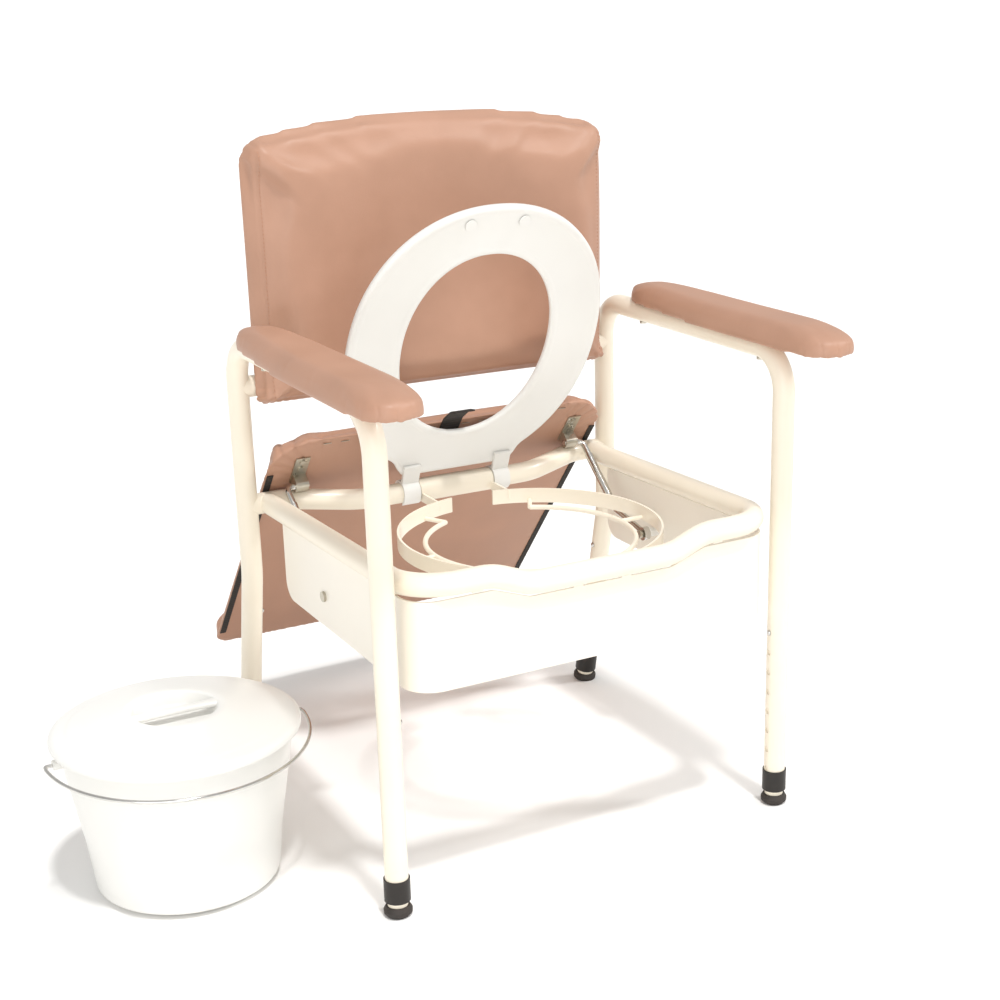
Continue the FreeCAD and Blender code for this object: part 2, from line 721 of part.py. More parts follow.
def seat_stays():
    """Cranked stays: a cross pin in the bracket, a tube down to the knee, a rod on to the apron pivot."""
    x = -size("stay_x")
    top = seat_point(x, size("bracket_back"), size("bracket_drop"))
    foot = Vector(x, size("pivot_y"), size("pivot_height"))
    chord = foot - top
    across = Vector(0, chord.z, -chord.y).normalize()
    if across.z > 0:
        across = across * -1
    knee = top + chord * 0.62 + across * size("stay_crank")
    pin_end = Vector(9 - BRACKET_X, top.y, top.z)
    bar = rod(bent_path([pin_end, top, knee, foot], [9, 24]), size("stay_radius"))
    reach = (knee - top).normalize()
    sleeve = straight_rod(top + reach * 24, knee - reach * 22, size("stay_tube_radius"))
    eye = Part.makeCylinder(8.5, 8, foot - Vector(4, 0, 0), Vector(1, 0, 0))
    left = bar.fuse(sleeve).fuse(eye).removeSplitter()
    left = left.cut(Part.makeCylinder(3.05, 20, foot - Vector(10, 0, 0), Vector(1, 0, 0)))
    feature("seat_stay_left", left)
    feature("seat_stay_right", left.mirror(Vector(0, 0, 0), Vector(1, 0, 0)))


def pivot_bolts():
    """Bolts through the apron on which the stays turn, with a bush between stay and apron."""
    bolts, bushes = [], []
    outside = APRON_X + size("apron_wall") / 2
    inside = APRON_X - size("apron_wall") / 2
    for side in (-1, 1):
        axis = Vector(side, 0, 0)
        start = Vector(side * (size("stay_x") - 9.5), size("pivot_y"), size("pivot_height"))
        bolt = Part.makeCylinder(3.0, outside - size("stay_x") + 9.5, start, axis)
        head = Part.makeCylinder(6.0, 3.0, Vector(side * outside, start.y, start.z), axis)
        nut = Part.makeCylinder(5.2, 4.0, start, axis)
        bolts.append(bolt.fuse(head).fuse(nut).removeSplitter())
        seat = Vector(side * (size("stay_x") + 4.4), start.y, start.z)
        bush = Part.makeCylinder(5.5, inside - size("stay_x") - 4.4, seat, axis)
        bushes.append(bush.cut(Part.makeCylinder(3.0, 40, seat, axis)))
    feature("pivot_bolts", Part.makeCompound(bolts))
    feature("pivot_bushes", Part.makeCompound(bushes))


padded_seat()
seat_edge_strips()
stay_brackets()
pull_strap()
seat_stays()
pivot_bolts()


# ---------------------------------------------------------------------------------------------------------
# Toilet seat

def ring_place():
    """Raised place of the toilet seat: local X across, local Y from the hinge to the tip, local Z its top."""
    return Placement(HINGE + Vector(size("ring_shift"), 0, 0), Rotation(Vector(0, 0, 1), 180).multiply(
        Rotation(Vector(1, 0, 0), 90 - size("ring_lean"))))


def toilet_seat():
    length = size("ring_length")
    half = size("ring_half_width")
    band = size("ring_band")
    low = size("ring_offset")
    thick = size("ring_thickness")
    start = 24.0
    outer = Part.Face(oval(half, start, length, 2.15)).extrude(Vector(0, 0, thick))
    heel = Part.makeBox(160, 60, thick, Vector(-80, start, 0))
    body = outer.fuse(heel).removeSplitter()
    hole = Part.Face(oval(half - band, start + 62, length - band + 6, 2.1)).extrude(Vector(0, 0, thick))
    body = body.cut(hole)
    edges = [e for e in body.Edges if abs(e.BoundBox.ZMin - thick) < 0.1 and abs(e.BoundBox.ZMax - thick) < 0.1]
    body = body.makeFillet(3.5, edges)
    feature("toilet_seat", body, ring_place().multiply(Placement(Vector(0, 0, low), Rotation())))


def toilet_seat_clips():
    """Snap clips under the heel that turn on the crossbar."""
    bore = R + size("clip_clearance")
    outer = bore + size("clip_wall")
    wide = size("clip_width")
    low = size("ring_offset")
    shapes = []
    for side in (-1, 1):
        x = side * size("clip_x") - wide / 2
        ring = Part.makeCylinder(outer, wide, Vector(x, 0, 0), Vector(1, 0, 0))
        arm = Part.makeBox(wide, 40, 4, Vector(x, 0, low - 4))
        mouth = Part.makeBox(wide, 40, 2 * bore * 0.82, Vector(x, -40, -bore * 0.82))
        hollow = Part.makeCylinder(bore, wide, Vector(x, 0, 0), Vector(1, 0, 0))
        shapes.append(ring.fuse(arm).cut(hollow).cut(mouth).removeSplitter())
    feature("toilet_seat_clips", Part.makeCompound(shapes), ring_place())


def toilet_seat_bumpers():
    """Rubber stops under the ring that rest on the seat rail."""
    length = size("ring_length")
    shapes = []
    for side in (-1, 1):
        for y in (length - 18.0,):
            shapes.append(Part.makeCylinder(7, 1.2, Vector(side * 34, y - 3, size("ring_offset") - 1.2)))
    feature("toilet_seat_bumpers", Part.makeCompound(shapes), ring_place())


toilet_seat()
toilet_seat_clips()
toilet_seat_bumpers()


# ---------------------------------------------------------------------------------------------------------
# Pan carrier

def carrier_place():
    """The carrier sits a little off centre, in line with the toilet seat."""
    return Placement(Vector(size("ring_shift"), 0, 0), Rotation())


def carrier_sleeve():
    """Plate folded round the front and underside of the crossbar, with arms down to the band."""
    bar = rod(crossbar_path(), R)
    gap_y = HINGE.y
    clear_x = size("clip_x") - size("clip_width") / 2 - 1.5
    shapes = []
    shell = Part.makeCylinder(R + 2, 2 * clear_x, Vector(-clear_x, gap_y, HINGE.z), Vector(1, 0, 0))
    shapes.append(shell.cut(bar))
    sleeve = shapes[0]
    for side in (-1, 1):
        arm = Part.makeBox(3, gap_y - size("carrier_y") - size("carrier_radius") * 0.93 - R, 11,
                           Vector(side * (clear_x - 1.5) - 1.5,
                                  size("carrier_y") + size("carrier_radius") * 0.93, HINGE.z - 12))
        sleeve = sleeve.fuse(arm)
    feature("carrier_sleeve", sleeve.cut(bar).cut(carrier_band_shape()).removeSplitter(), carrier_place())


def carrier_band_shape():
    radius = size("carrier_radius")
    centre = Vector(0, size("carrier_y"), size("carrier_top") - size("carrier_band"))
    ring = Part.makeCylinder(radius, size("carrier_band"), centre)
    ring = ring.cut(Part.makeCylinder(radius - size("carrier_thick"), size("carrier_band"), centre))
    return ring


def pan_carrier():
    """Horseshoe band and the inner wire ring that the pan hangs in."""
    band = carrier_band_shape()
    gap = Part.makeBox(56, 60, 60, Vector(-28, size("carrier_y") + size("carrier_radius") - 30, 320))
    feature("carrier_band", band.cut(gap), carrier_place())
    carrier_sleeve()
    wire = size("wire_radius")
    height = size("carrier_top") - size("carrier_band") + wire
    ring = size("wire_ring_radius")
    centre = Vector(0, size("carrier_y"), height)
    loops = []
    start = math.radians(118)
    sweep_end = math.radians(422)
    arc = Part.ArcOfCircle(Part.Circle(centre, Vector(0, 0, 1), ring), start, sweep_end)
    wire_path = Part.Wire([arc.toShape()])
    loops.append(rod(wire_path, wire))
    for angle in (118, 180, 270, 360, 422):
        a = math.radians(angle)
        inner = centre + Vector(math.cos(a), math.sin(a), 0) * (ring + wire * 0.2)
        outer = centre + Vector(math.cos(a), math.sin(a), 0) * (size("carrier_radius") - 1.0)
        loops.append(straight_rod(inner, outer, wire * 0.9))
    hanger = loops[0]
    for piece in loops[1:]:
        hanger = hanger.fuse(piece)
    feature("carrier_wire", hanger.cut(carrier_band_shape()).removeSplitter(), carrier_place())


pan_carrier()


# ---------------------------------------------------------------------------------------------------------
# Pan, lid and bail, standing on the floor beside the chair

PAN = Placement(Vector(size("pan_x"), size("pan_y"), 0), Rotation())


def pan_body():
    top = size("pan_top_radius")
    low = size("pan_bottom_radius")
    high = size("pan_height")
    wall = size("pan_wall")
    rim = size("pan_rim_radius")
    profile = [(0, 0), (low - 8, 0), (low, 8), (top, high - 14), (top + 1, high - 6), (rim, high - 6),
               (rim, high), (top - wall, high), (low - wall, 8 + wall), (low - 8 - wall, wall), (0, wall)]
    body = turned_body("pan_body", profile)
    body.Placement = PAN
    keep(body)


def pan_ears():
    """Side bosses under the rim that the bail's ends turn in."""
    ears = []
    for side in (-1, 1):
        start = Vector(side * (size("pan_top_radius") - 1.5), 0, size("bail_height") - 4)
        ear = Part.makeCylinder(5.5, 11.5, start, Vector(side, 0, 0))
        ear = ear.cut(Part.makeCylinder(size("bail_wire") + 0.1, 30, start + Vector(side * 3, 0, 0),
                                        Vector(side, 0, 0)))
        ears.append(ear)
    shape = Part.makeCompound(ears)
    pan_solid = Part.makeCone(size("pan_bottom_radius"), size("pan_top_radius"), size("pan_height") - 22,
                              Vector(0, 0, 8))
    shape = shape.cut(pan_solid)
    feature("pan_ears", Part.makeCompound(shape.Solids), PAN)


def pan_lid():
    """Lid with a turned-down edge and a dished middle crossed by a finger bar."""
    base = size("pan_height") + size("lid_lift")
    rim = size("lid_radius")
    inner = size("pan_rim_radius") + size("lid_lift")
    profile = [(inner, base - 5), (rim, base - 5), (rim, base + 1), (rim - 6, base + 4), (rim - 18, base + 7),
               (rim - 40, base + 12), (52, base + 21), (46, base + 21), (40, base + 5), (0, base + 5),
               (0, base + 2.6), (43, base + 2.6), (49, base + 18), (rim - 41, base + 9.4),
               (rim - 20, base + 4), (rim - 20, base), (inner, base)]
    body = turned_body("pan_lid_shell", profile)
    body.Placement = PAN
    handle = Part.makeBox(92, 15, 7.5, Vector(-46, -7.5, base + 14.5))
    handle = handle.makeFillet(3, [e for e in handle.Edges if e.Length > 80])
    bar = doc.addObject("Part::Feature", "pan_lid_bar")
    bar.Shape = handle
    bar.Placement = PAN
    lid = doc.addObject("Part::Fuse", "pan_lid")
    lid.Base = body
    lid.Tool = bar
    keep(lid)


def pan_bail():
    """Wire carrying handle, lying round the rim, with its ends turned into the ears."""
    radius = size("bail_radius")
    wire = size("bail_wire")
    z = size("bail_height") - 4
    tip = size("pan_top_radius") + 3
    drop = Rotation(Vector(1, 0, 0), 3)
    centre = Vector(0, 0, 0)
    low = 8.0
    angle = math.asin(low / radius)
    arc = Part.ArcOfCircle(Part.Circle(centre, Vector(0, 0, 1), radius), math.pi + angle,
                           2 * math.pi - angle)
    loop = rod(Part.Wire([arc.toShape()]), wire)
    for side in (-1, 1):
        end = Vector(side * radius * math.cos(angle), -radius * math.sin(angle), 0)
        elbow = Vector(side * (radius - 1), 0, 0)
        loop = loop.fuse(rod(bent_path([end, elbow, Vector(side * tip, 0, 0)], [2.6]), wire))
        loop = loop.fuse(Part.makeSphere(wire, end))
    feature("pan_bail", loop.removeSplitter(), PAN.multiply(Placement(Vector(0, 0, z), drop)))


pan_body()
pan_ears()
pan_lid()
pan_bail()


# ---------------------------------------------------------------------------------------------------------
# Fit neighbouring pieces to each other

def fit_against(label, other):
    """The piece is trimmed where its neighbour's surface runs."""
    node = node_called(label)
    node.Shape = node.Shape.cut(node_called(other).Shape)


doc.recompute()
fit_against("apron_spacers", "apron")
fit_against("pan_ears", "pan_body")
fit_against("carrier_sleeve", "rear_crossbar")
for corner in CORNERS:
    fit_against(f"button_spring_{corner}", f"inner_leg_{corner}")


# ---------------------------------------------------------------------------------------------------------
# Check and write

doc.recompute()
for obj in doc.Objects:
    if "Invalid" in obj.State or "Error" in obj.State:
        raise RuntimeError(f"{obj.Label} did not build")
os.makedirs("parts", exist_ok=True)
for node in NODES:
    shape = node.Shape
    if shape.isNull() or not shape.isValid() or not shape.Solids:
        raise RuntimeError(f"{node.Label} has no valid solid")
    shape.exportStep(os.path.join("parts", node.Label + ".step"))
print(len(NODES), "sub-parts written")
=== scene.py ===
import json
import math

import bpy
import numpy as np
from mathutils import Matrix, Vector


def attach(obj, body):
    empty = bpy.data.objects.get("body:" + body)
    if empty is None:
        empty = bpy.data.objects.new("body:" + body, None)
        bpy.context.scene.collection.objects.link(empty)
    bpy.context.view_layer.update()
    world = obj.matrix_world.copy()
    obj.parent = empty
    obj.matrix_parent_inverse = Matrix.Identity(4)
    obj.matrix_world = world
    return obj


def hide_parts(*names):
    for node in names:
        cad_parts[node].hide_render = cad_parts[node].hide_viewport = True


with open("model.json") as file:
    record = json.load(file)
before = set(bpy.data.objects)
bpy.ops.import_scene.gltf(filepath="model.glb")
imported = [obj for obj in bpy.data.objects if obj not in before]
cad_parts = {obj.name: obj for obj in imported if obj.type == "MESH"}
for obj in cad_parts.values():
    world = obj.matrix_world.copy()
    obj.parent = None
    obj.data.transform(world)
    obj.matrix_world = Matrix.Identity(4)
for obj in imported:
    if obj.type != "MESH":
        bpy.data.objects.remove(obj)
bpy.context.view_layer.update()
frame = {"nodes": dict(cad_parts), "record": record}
cad = frame["nodes"]
scene = bpy.context.scene
MM = 0.001


# ------------------------------------------------------------------------------------------------
# Materials

def linear(hex_colour):
    """An sRGB hex colour as linear RGBA."""
    parts = [int(hex_colour[i:i + 2], 16) / 255 for i in (1, 3, 5)]
    return tuple(c / 12.92 if c <= 0.04045 else ((c + 0.055) / 1.055) ** 2.4 for c in parts) + (1.0,)


def add(tree, kind, inputs=None, **settings):
    """One node with its settings; an input that is a socket is linked, any other is set."""
    made = tree.nodes.new(kind)
    for name, value in settings.items():
        setattr(made, name, value)
    for name, value in (inputs or {}).items():
        if isinstance(value, bpy.types.NodeSocket):
            tree.links.new(value, made.inputs[name])
        else:
            made.inputs[name].default_value = value
    return made


def ramp(tree, factor, stops):
    """A colour ramp between two (position, colour) stops."""
    made = add(tree, "ShaderNodeValToRGB", {"Fac": factor})
    for element, (position, colour) in zip(made.color_ramp.elements, stops):
        element.position = position
        element.color = colour
    return made.outputs["Color"]


PATCH_LOW, PATCH_HIGH = 0.3, 0.7    # the range that noise mostly stays in


def per_mm(size_mm):
    """Texture scale at which one feature is about size_mm across."""
    return 1.0 / (size_mm * MM)


def material(name, colours, rough, patch_mm, grain_mm, depth_mm, pattern="noise",
             stretch=(1, 1, 1), shader=None):
    """Colour mottled between two tones, roughness varied between two values, and a fine relief."""
    made = bpy.data.materials.new(name)
    made.use_nodes = True
    tree = made.node_tree
    tree.nodes.clear()
    coords = add(tree, "ShaderNodeTexCoord").outputs["Object"]
    place = add(tree, "ShaderNodeMapping", {"Vector": coords, "Scale": stretch}).outputs["Vector"]
    patches = add(tree, "ShaderNodeTexNoise",
                  {"Vector": place, "Scale": per_mm(patch_mm), "Detail": 6.0}).outputs["Fac"]
    tone = ramp(tree, patches, [(PATCH_LOW, linear(colours[0])), (PATCH_HIGH, linear(colours[1]))])
    if pattern == "cells":
        grain = add(tree, "ShaderNodeTexVoronoi", {"Vector": place, "Scale": per_mm(grain_mm)},
                    feature="SMOOTH_F1").outputs["Distance"]
    elif pattern == "weave":
        grain = add(tree, "ShaderNodeTexWave", {"Vector": place, "Scale": per_mm(grain_mm) / math.tau,
                                                "Distortion": 0.6}, bands_direction="Y").outputs["Fac"]
    else:
        grain = add(tree, "ShaderNodeTexNoise", {"Vector": place, "Scale": per_mm(grain_mm),
                                                 "Detail": 3.0}).outputs["Fac"]
    gloss = add(tree, "ShaderNodeMapRange",
                {"Value": patches, "From Min": PATCH_LOW, "From Max": PATCH_HIGH,
                 "To Min": rough[0], "To Max": rough[1]}).outputs["Result"]
    relief = add(tree, "ShaderNodeBump", {"Height": grain, "Distance": depth_mm * MM, "Strength": 0.6})
    settings = {"Base Color": tone, "Roughness": gloss, "Normal": relief.outputs["Normal"]}
    settings.update(shader or {})
    surface = add(tree, "ShaderNodeBsdfPrincipled", settings)
    add(tree, "ShaderNodeOutputMaterial", {"Surface": surface.outputs["BSDF"]})
    return made


# Polyester powder coat on steel tube: satin, with soft wide highlights.
ENAMEL = material("powder_coat_cream", ("#EDE3D0", "#F1E8D6"), (0.30, 0.40), 90, 1.6, 0.03,
                  shader={"IOR": 1.5, "Coat Weight": 0.25, "Coat Roughness": 0.2})
# Stove enamel on sheet steel: smoother than the tubes and a little lighter.
SHEET = material("stove_enamel_ivory", ("#EEE7DA", "#F2ECDF"), (0.28, 0.38), 120, 2.2, 0.03,
                 shader={"IOR": 1.5, "Coat Weight": 0.25, "Coat Roughness": 0.2})
# Moulded polypropylene collar: black with a dull sheen.
BLACK_PLASTIC = material("polypropylene_black", ("#17130F", "#221C18"), (0.38, 0.55), 30, 0.6, 0.05,
                         shader={"IOR": 1.49})
# Vulcanised rubber foot tip: nearly matt.
RUBBER = material("rubber_black", ("#2C2622", "#3A322D"), (0.6, 0.8), 18, 0.7, 0.08, shader={"IOR": 1.52})
# Chromium plate on drawn steel: near mirror.
CHROME = material("chromium_plate", ("#C9C8C4", "#D8D6D2"), (0.08, 0.2), 25, 2.0, 0.01,
                  shader={"Metallic": 1.0})
# Nickel plate on pressed steel: warm grey with blurred reflections.
NICKEL = material("nickel_plate", ("#B3AD9F", "#C6C0B2"), (0.25, 0.4), 15, 0.8, 0.02,
                  shader={"Metallic": 1.0})
# Spring steel strip: dark grey with blurred reflections.
SPRING = material("spring_steel", ("#6E6F73", "#85868A"), (0.25, 0.4), 10, 0.6, 0.02,
                  shader={"Metallic": 1.0})
# Expanded vinyl upholstery cloth: satin, pressed with a leather grain.
VINYL = material("upholstery_vinyl_tan", ("#AD846D", "#B68C75"), (0.42, 0.55), 70, 1.1, 0.12, "cells",
                 shader={"IOR": 1.5})
# Woven polypropylene webbing: matt, ribbed across.
WEBBING = material("webbing_black", ("#211D1A", "#36302B"), (0.7, 0.9), 6, 1.6, 0.4, "weave",
                   shader={"IOR": 1.49})
# Birch plywood: matt, with its grain drawn out along X.
PLYWOOD = material("plywood_birch", ("#C6A373", "#D9BB8D"), (0.5, 0.65), 40, 1.5, 0.1, stretch=(0.1, 1, 1),
                   shader={"IOR": 1.5})
# Injection moulded polypropylene: smooth, with a clear gloss.
WHITE_PLASTIC = material("polypropylene_white", ("#E6E5E0", "#E9E8E4"), (0.30, 0.36), 160, 1.2, 0.015,
                         shader={"IOR": 1.49})
# Bonded polyester sewing thread: matt.
THREAD = material("thread_tan", ("#A87A60", "#BC8D71"), (0.6, 0.8), 3, 0.4, 0.1, shader={"IOR": 1.5})
# Painted studio floor: matt and nearly white.
FLOOR = material("studio_floor", ("#F7F6F4", "#FAF9F7"), (0.7, 0.8), 400, 3.0, 0.02, shader={"IOR": 1.4})

BY_SLOT = {"frame_enamel": ENAMEL, "apron_sheet": SHEET, "black_plastic": BLACK_PLASTIC,
           "black_rubber": RUBBER, "chrome_steel": CHROME, "nickel_steel": NICKEL,
           "spring_steel": SPRING, "tan_vinyl": VINYL, "plywood": PLYWOOD,
           "black_webbing": WEBBING, "white_plastic": WHITE_PLASTIC, "cream_steel": ENAMEL}


def dress(obj, surface):
    obj.data.materials.clear()
    obj.data.materials.append(surface)


for part in frame["record"]["subparts"]:
    dress(cad[part["node"]], BY_SLOT[part["material_slot"]])


# ------------------------------------------------------------------------------------------------
# Meshes

def make_object(name, vertices, faces, surface, smooth=True):
    mesh = bpy.data.meshes.new(name)
    mesh.from_pydata([tuple(v) for v in vertices], [], faces)
    mesh.update()
    obj = bpy.data.objects.new(name, mesh)
    scene.collection.objects.link(obj)
    mesh.polygons.foreach_set("use_smooth", [smooth] * len(mesh.polygons))
    dress(obj, surface)
    return obj


def grid_faces(rows, columns, closed_rows, closed_columns):
    """Quads over a grid of rows x columns vertices."""
    faces = []
    for i in range(rows if closed_rows else rows - 1):
        for j in range(columns if closed_columns else columns - 1):
            a, b = i, (i + 1) % rows
            c, d = j, (j + 1) % columns
            faces.append((a * columns + c, a * columns + d, b * columns + d, b * columns + c))
    return faces


def lathe(name, profile, place, surface, turns=128):
    """Surface of revolution about local Z of (radius, height) points in millimetres."""
    vertices = []
    for i in range(turns):
        a = math.tau * i / turns
        for radius, height in profile:
            spot = Vector((radius * math.cos(a) * MM, radius * math.sin(a) * MM, height * MM))
            vertices.append(place @ spot)
    return make_object(name, vertices, grid_faces(turns, len(profile), True, False), surface)


def rounded(profile, radius, steps=5):
    """The profile with each inner corner replaced by a smooth bend."""
    points = [Vector(p) for p in profile]
    out = [points[0]]
    for before, here, after in zip(points, points[1:], points[2:]):
        back = min(radius, (here - before).length * 0.45)
        ahead = min(radius, (after - here).length * 0.45)
        start = here + (before - here).normalized() * back
        end = here + (after - here).normalized() * ahead
        for k in range(steps + 1):
            t = k / steps
            out.append(start * (1 - t) ** 2 + here * 2 * t * (1 - t) + end * t ** 2)
    out.append(points[-1])
    return out


def evaluated(obj):
    """The object's mesh with its modifiers applied, which are then removed."""
    graph = bpy.context.evaluated_depsgraph_get()
    mesh = bpy.data.meshes.new_from_object(obj.evaluated_get(graph), depsgraph=graph)
    obj.modifiers.clear()
    obj.data = mesh
    return mesh


def points_of(mesh):
    out = np.empty(len(mesh.vertices) * 3)
    mesh.vertices.foreach_get("co", out)
    return out.reshape(-1, 3)


def set_points(mesh, points):
    mesh.vertices.foreach_set("co", points.reshape(-1))
    mesh.update()


def normals_of(mesh):
    out = np.empty(len(mesh.vertices) * 3)
    mesh.vertices.foreach_get("normal", out)
    return out.reshape(-1, 3)


HELD_BAND = 2.5 * MM     # height of the strip at the base that the cloth is held by
CLOTH_FRAMES = 20


def soft_cover(name, source, place, depth, voxel_mm, pressure, cap_mm):
    """A padded piece blown up from its CAD block; its base is let down by depth and stays flat.

    No point moves further than cap_mm in the simulation.
    """
    mesh = cad[source].data.copy()
    mesh.materials.clear()
    obj = bpy.data.objects.new(name, mesh)
    scene.collection.objects.link(obj)
    inverse = place.inverted()
    mesh.transform(inverse)
    points = points_of(mesh)
    base = points[:, 2].min()
    points[points[:, 2] < base + 0.5 * MM, 2] = base - depth
    set_points(mesh, points)
    remesh = obj.modifiers.new("even", "REMESH")
    remesh.mode = "VOXEL"
    remesh.voxel_size = voxel_mm * MM
    mesh = evaluated(obj)
    before = points_of(mesh)
    floor_z = before[:, 2].min()
    held = [int(i) for i in np.nonzero(before[:, 2] < floor_z + HELD_BAND)[0]]
    group = obj.vertex_groups.new(name="held")
    group.add(held, 1.0, "REPLACE")
    cloth = obj.modifiers.new("cover", "CLOTH")
    settings = cloth.settings
    settings.vertex_group_mass = "held"
    settings.quality = 5
    settings.mass = 0.3
    settings.tension_stiffness = 20
    settings.compression_stiffness = 12
    settings.shear_stiffness = 8
    settings.bending_stiffness = 0.6
    settings.use_pressure = True
    settings.uniform_pressure_force = pressure
    settings.effector_weights.gravity = 0
    cloth.collision_settings.use_collision = False
    for number in range(1, CLOTH_FRAMES + 1):
        scene.frame_set(number)
    mesh = evaluated(obj)
    after = points_of(mesh)
    move = after - before
    length = np.linalg.norm(move, axis=1)
    scale = np.minimum(1.0, cap_mm * MM / np.maximum(length, 1e-9))
    set_points(mesh, before + move * scale[:, None])
    scene.frame_set(1)
    obj.vertex_groups.clear()
    smooth = obj.modifiers.new("smooth", "SMOOTH")
    smooth.factor = 0.5
    smooth.iterations = 3
    finer = obj.modifiers.new("finer", "SUBSURF")
    finer.levels = 1
    finer.render_levels = 1
    mesh = evaluated(obj)
    mesh.polygons.foreach_set("use_smooth", [True] * len(mesh.polygons))
    dress(obj, VINYL)
    return obj


def place_softly(obj, place, relief):
    """Press the relief, in metres along each point's normal, into the cover, then place it."""
    mesh = obj.data
    points = points_of(mesh)
    set_points(mesh, points + normals_of(mesh) * relief(points)[:, None])
    mesh.transform(place)
    mesh.update()


def bell(value, width):
    return np.exp(-(value / width) ** 2)


def corner_pleats(points, corner, centre, reach, folds, depth):
    """Gathers that fan out from a centre, strongest near a corner."""
    dx = points[:, 0] - centre[0]
    dy = points[:, 1] - centre[1]
    angle = np.arctan2(dy, dx)
    near = np.hypot(points[:, 0] - corner[0], points[:, 1] - corner[1])
    wave = np.cos(angle * folds) ** 8
    return -depth * wave * bell(near, reach)


# ------------------------------------------------------------------------------------------------
# Backrest cover

def place_from(origin, x_axis, y_axis, z_axis):
    rows = Matrix((x_axis, y_axis, z_axis)).transposed().to_4x4()
    rows.translation = origin
    return rows


BACK_HALF = 235 * MM
BACK_LOW = 478 * MM
BACK_FACE = 183.8 * MM
BACK_PLACE = place_from(Vector((0, BACK_FACE, 0)), Vector((1, 0, 0)), Vector((0, 0, 1)),
                        Vector((0, -1, 0)))
SEAM_IN = 13 * MM
SEAM_TOP = 0.775         # where the side seams fade out
BACK_TOP_CORNER = 0.782
BACK_TOP_CENTRE = 0.748  # where the gathers of the top corners fan out from
STITCH_START = 0.490
STITCH_STEP = 0.004
STITCH_STEPS = 72
STITCH_IN = 3.2 * MM     # from the seam to its row of stitches


def back_relief(points):
    """Piped seam down each side, gathers at the corners and a slow unevenness."""
    out = np.zeros(len(points))
    front = np.clip((points[:, 2] - 12 * MM) / (8 * MM), 0, 1)
    for side in (-1, 1):
        seam = side * (BACK_HALF - SEAM_IN)
        along = np.clip((SEAM_TOP - points[:, 1]) / 0.01, 0, 1)
        out -= 1.6 * MM * bell(points[:, 0] - seam, 2.2 * MM) * along * front
        corner = (side * BACK_HALF, BACK_LOW)
        centre = (side * (BACK_HALF - 30 * MM), BACK_LOW + 30 * MM)
        out += corner_pleats(points, corner, centre, 34 * MM, 11, 2.4 * MM)
        corner = (side * BACK_HALF, BACK_TOP_CORNER)
        centre = (side * (BACK_HALF - 32 * MM), BACK_TOP_CENTRE)
        out += corner_pleats(points, corner, centre, 26 * MM, 9, 1.2 * MM)
    slow = np.sin(points[:, 0] * 31 + 1.3) * np.sin(points[:, 1] * 27 + 0.4)
    return out + 0.5 * MM * slow * front


def stitch_line(name, path, up, body, length_mm=3.0, pitch_mm=4.6, radius_mm=0.45):
    """A row of thread stitches, each a small bead humped along up, on a path of points."""
    vertices, faces = [], []
    lengths = [0.0]
    for a, b in zip(path, path[1:]):
        lengths.append(lengths[-1] + (b - a).length)
    count = int(lengths[-1] / (pitch_mm * MM))
    rings, sides = 5, 6
    for k in range(count):
        middle = (k + 0.5) * pitch_mm * MM
        i = max(j for j in range(len(path) - 1) if lengths[j] <= middle)
        ahead = (path[i + 1] - path[i]).normalized()
        centre = path[i] + ahead * (middle - lengths[i])
        across = ahead.cross(up).normalized()
        first = len(vertices)
        for r in range(rings):
            t = r / (rings - 1) * 2 - 1
            fat = radius_mm * MM * max(0.25, math.sqrt(1 - 0.9 * t * t))
            spot = centre + ahead * (t * length_mm / 2 * MM) + up * (0.35 * MM * (1 - t * t))
            for s in range(sides):
                a = math.tau * s / sides
                vertices.append(spot + across * (fat * math.cos(a)) + up * (fat * math.sin(a)))
        for face in grid_faces(rings, sides, False, True):
            faces.append(tuple(first + v for v in face))
    obj = make_object(name, vertices, faces, THREAD)
    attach(obj, body)


def surface_path(obj, starts, direction):
    """Where rays from the starts meet the object."""
    out = []
    for start in starts:
        hit, spot, _, _ = obj.ray_cast(start, direction)
        if hit:
            out.append(spot)
    return out


def backrest():
    cover = soft_cover("backrest_cover", "backrest_pad", BACK_PLACE, 9 * MM, 6, 4.0, 11)
    place_softly(cover, BACK_PLACE, back_relief)
    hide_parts("backrest_pad", "backrest_board")
    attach(cover, "frame")
    bpy.context.view_layer.update()
    for side, word in ((-1, "left"), (1, "right")):
        x = side * (BACK_HALF - SEAM_IN - STITCH_IN)
        starts = [Vector((x, 0.0, STITCH_START + STITCH_STEP * i)) for i in range(STITCH_STEPS)]
        path = surface_path(cover, starts, Vector((0, 1, 0)))
        stitch_line(f"backrest_stitches_{word}", path, Vector((0, -1, 0)), "frame")


backrest()


# ------------------------------------------------------------------------------------------------
# Padded seat cover

SEAT_ANGLE = math.radians(50)
SEAT_EDGE = (0, 0.146, 0.4376)      # the raised edge of the stored seat's underside
SEAT_PLACE = Matrix.Translation(SEAT_EDGE) @ Matrix.Rotation(-SEAT_ANGLE, 4, "X")
SEAT_HALF = 231 * MM
SEAT_LENGTH = 452 * MM


